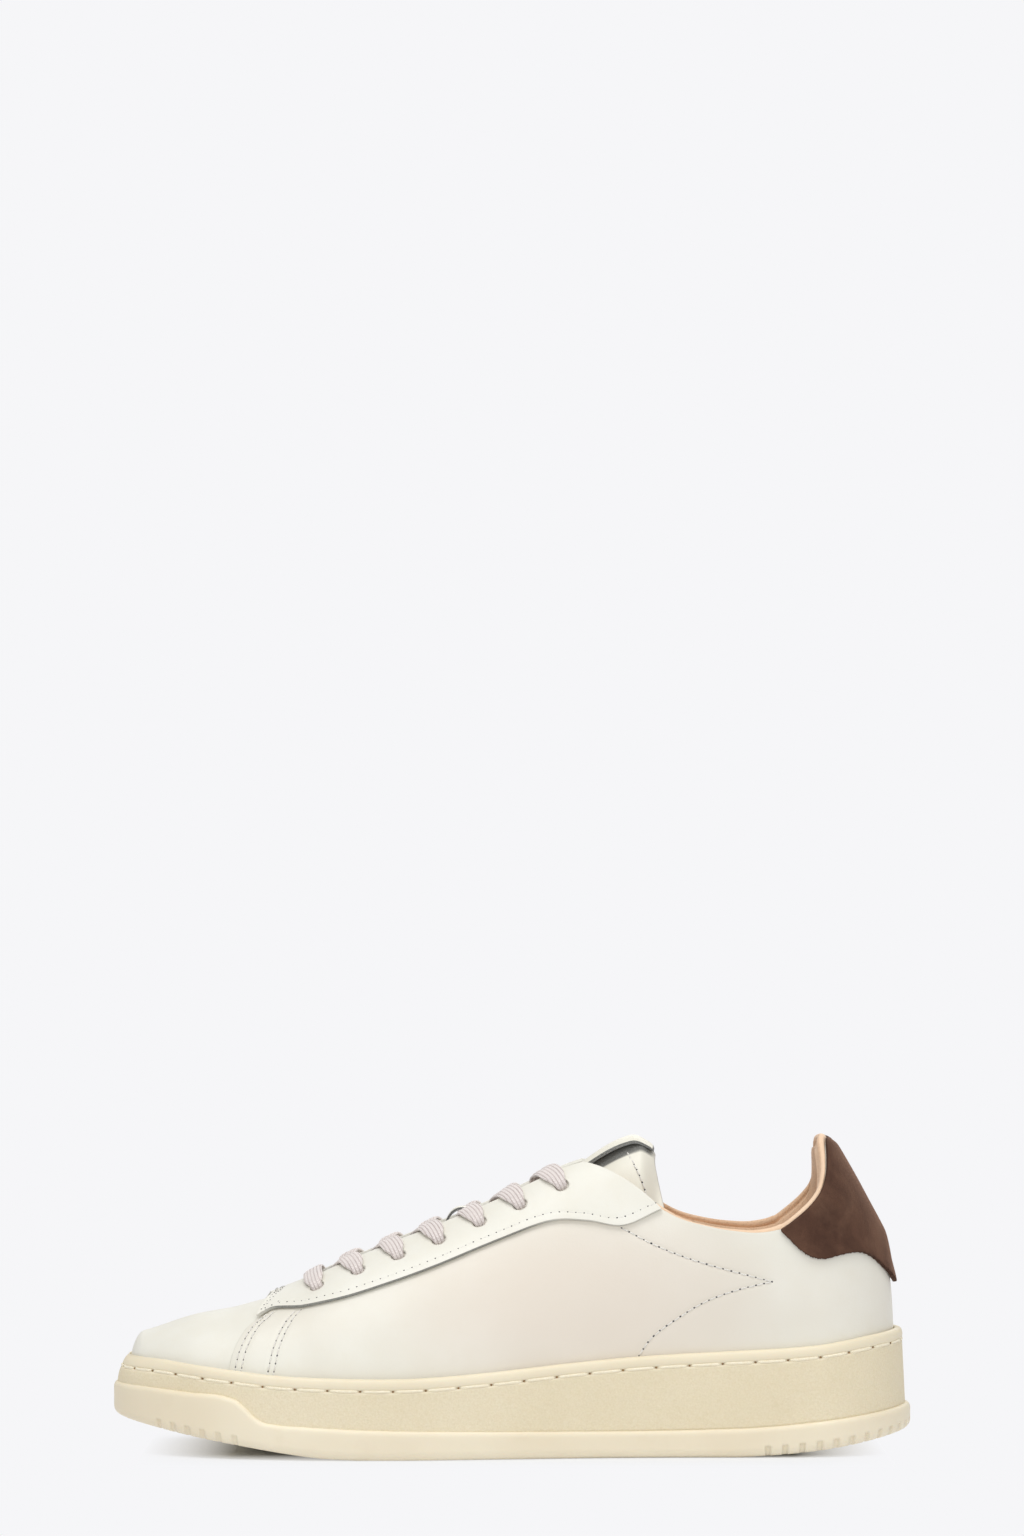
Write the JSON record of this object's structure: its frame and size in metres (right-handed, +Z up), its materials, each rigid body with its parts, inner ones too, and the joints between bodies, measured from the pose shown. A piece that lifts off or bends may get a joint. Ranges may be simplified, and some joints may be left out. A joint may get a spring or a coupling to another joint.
{
  "type": "court shoe",
  "caption": "Low leather court shoe for the left foot with a stitched rubber cup sole, laced eyestay, padded collar, hinged tongue and loose footbed.",
  "frame": {"origin": "on the ground plane, under the middle of the outsole's length and on the shoe's centre line", "axes": "+X from toe to heel, -Y to the lateral (outer) side of this left shoe, +Z up"},
  "size_m": [0.3005, 0.1055, 0.1181],
  "materials": {
    "outsole_rubber": "smooth matte moulded rubber, warm cream",
    "cup_rubber": "finely textured matte rubber, warm cream",
    "eva_core": "closed-cell foam",
    "sole_thread": "waxed twisted thread",
    "fibre_board": "pressed fibre board",
    "bed_foam": "soft foam",
    "bed_cloth": "brushed knit",
    "white_leather": "smooth full-grain leather, semi-matte, off-white",
    "brown_suede": "dark brown suede with raw edges",
    "stiffener": "thermoplastic sheet",
    "tape": "woven tape",
    "tan_lining": "napped tan lining leather",
    "collar_foam": "soft foam",
    "white_lace": "flat woven cotton lace, off-white",
    "aglet": "clear-wrapped lace tip"
  },
  "bodies": {
    "shoe": {"outsole": "outsole_rubber", "cup_sole": "cup_rubber", "midsole_core": "eva_core", "sidewall_thread": "sole_thread", "lasting_board": "fibre_board", "vamp": "white_leather", "lateral_quarter": "white_leather", "medial_quarter": "white_leather", "lateral_reinforcement": "tape", "medial_reinforcement": "tape", "lateral_eyelet_tape": "tape", "medial_eyelet_tape": "tape", "lace_facing": "white_leather", "heel_patch": "brown_suede", "toe_puff": "stiffener", "heel_counter": "stiffener", "vamp_lining": "tan_lining", "collar_foam": "collar_foam", "collar_lining": "tan_lining", "lace": "white_lace", "aglets": "aglet"},
    "tongue": {"tongue_leather": "white_leather", "tongue_foam": "collar_foam", "tongue_lining": "tan_lining", "tongue_label": "white_leather", "lace_keeper": "white_leather"},
    "footbed": {"footbed_foam": "bed_foam", "footbed_cover": "bed_cloth"}
  },
  "joints": [
    {"name": "tongue_pivot", "type": "hinge", "parent": "shoe", "child": "tongue", "pos_m": [-0.081, 0, 0.052], "axis": [0, 1, 0], "range_deg": [0, 8], "stiffness_Nm_per_rad": 0.8, "deforming": ["lace"]},
    {"name": "footbed_lift", "type": "hinge", "parent": "shoe", "child": "footbed", "pos_m": [-0.1385, 0, 0.0225], "axis": [0, -1, 0], "range_deg": [0, 3]}
  ]
}
